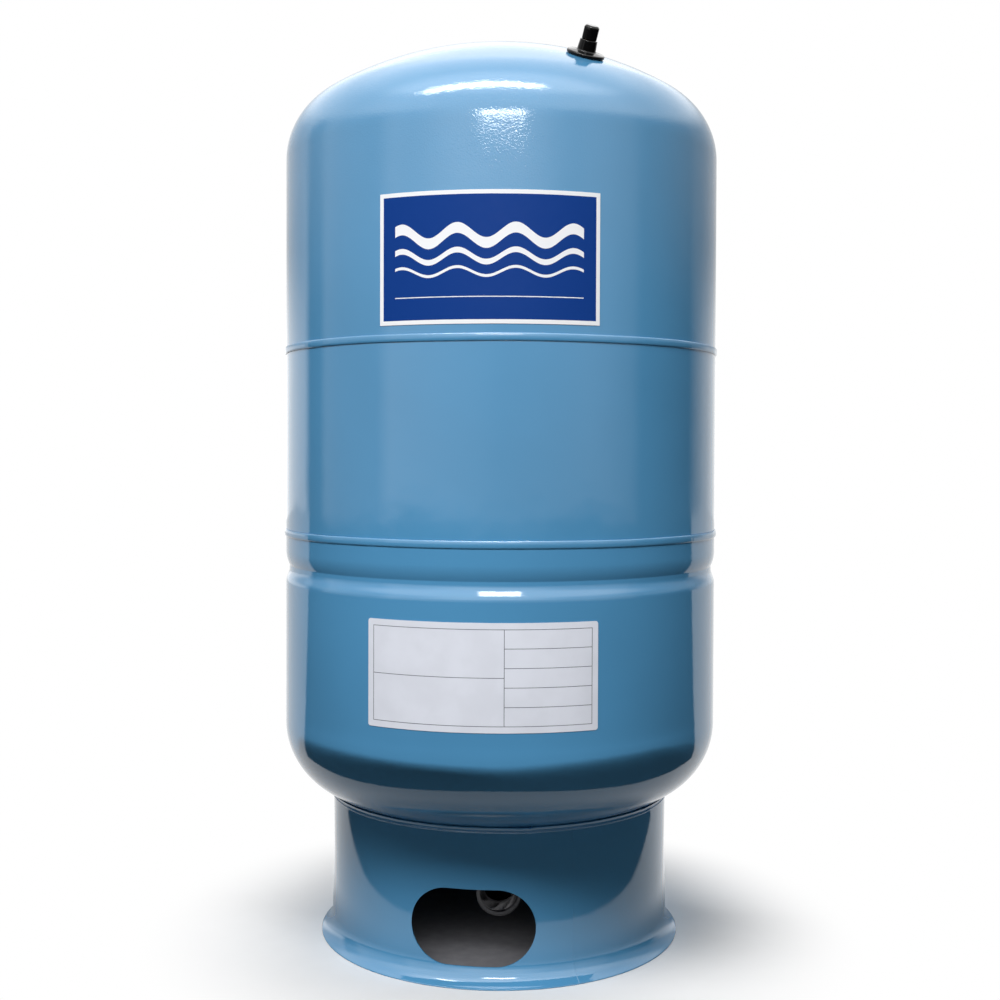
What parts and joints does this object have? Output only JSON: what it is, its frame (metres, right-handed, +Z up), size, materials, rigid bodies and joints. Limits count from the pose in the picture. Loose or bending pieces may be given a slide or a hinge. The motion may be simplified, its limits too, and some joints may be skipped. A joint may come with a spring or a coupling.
{
  "type": "pressure tank",
  "caption": "Upright steel pressure tank with domed heads, on a flared skirt with a hole for its water connection, and a capped air valve on the dome.",
  "frame": {"origin": "on the tank's vertical axis, at the floor under the skirt's foot", "axes": "+Z up along the tank's axis, -Y towards the front with the labels and the skirt's hole, +X to the right of the front"},
  "size_m": [0.3938, 0.3938, 0.7984],
  "materials": {
    "upper_shell": "gloss enamel",
    "middle_shell": "gloss enamel",
    "lower_shell": "gloss enamel",
    "upper_girth_weld": "gloss enamel",
    "lower_girth_weld": "gloss enamel",
    "skirt_weld": "gloss enamel",
    "base_skirt": "gloss enamel",
    "chamber_liner": "smooth moulded",
    "diaphragm": "matt",
    "clamp_ring": "rolled strip",
    "inlet_elbow": "satin stainless",
    "outlet_socket": "satin stainless",
    "socket_weld": "satin stainless",
    "inlet_weld": "satin stainless",
    "neck_seal": "matt",
    "inlet_diffuser": "smooth moulded",
    "valve_stem": "turned",
    "valve_washer": "matt",
    "valve_collar": "smooth moulded",
    "core_sleeve": "turned",
    "core_pin": "turned",
    "core_seal": "matt",
    "core_spring": "drawn wire",
    "valve_cap": "smooth moulded",
    "cap_seal": "matt",
    "front_label": "printed film",
    "data_label": "printed film"
  },
  "bodies": {
    "tank": {"upper_shell": "upper_shell", "middle_shell": "middle_shell", "lower_shell": "lower_shell", "upper_girth_weld": "upper_girth_weld", "lower_girth_weld": "lower_girth_weld", "skirt_weld": "skirt_weld", "base_skirt": "base_skirt", "chamber_liner": "chamber_liner", "diaphragm": "diaphragm", "clamp_ring": "clamp_ring", "inlet_elbow": "inlet_elbow", "outlet_socket": "outlet_socket", "socket_weld": "socket_weld", "inlet_weld": "inlet_weld", "neck_seal": "neck_seal", "inlet_diffuser": "inlet_diffuser", "valve_stem": "valve_stem", "valve_washer": "valve_washer", "valve_collar": "valve_collar", "core_sleeve": "core_sleeve", "core_spring": "core_spring", "front_label": "front_label", "data_label": "data_label"},
    "cap": {"valve_cap": "valve_cap", "cap_seal": "cap_seal"},
    "pin": {"core_pin": "core_pin", "core_seal": "core_seal"}
  },
  "joints": [
    {"name": "cap_lift", "type": "slide", "parent": "tank", "child": "cap", "axis": [0.2197, -0.4167, 0.8821], "range_m": [0, 0.012]},
    {"name": "pin_press", "type": "slide", "parent": "tank", "child": "pin", "axis": [0.2197, -0.4167, 0.8821], "range_m": [-0.0015, 0], "stiffness_N_per_m": 1500, "deforming": ["core_spring"]}
  ]
}
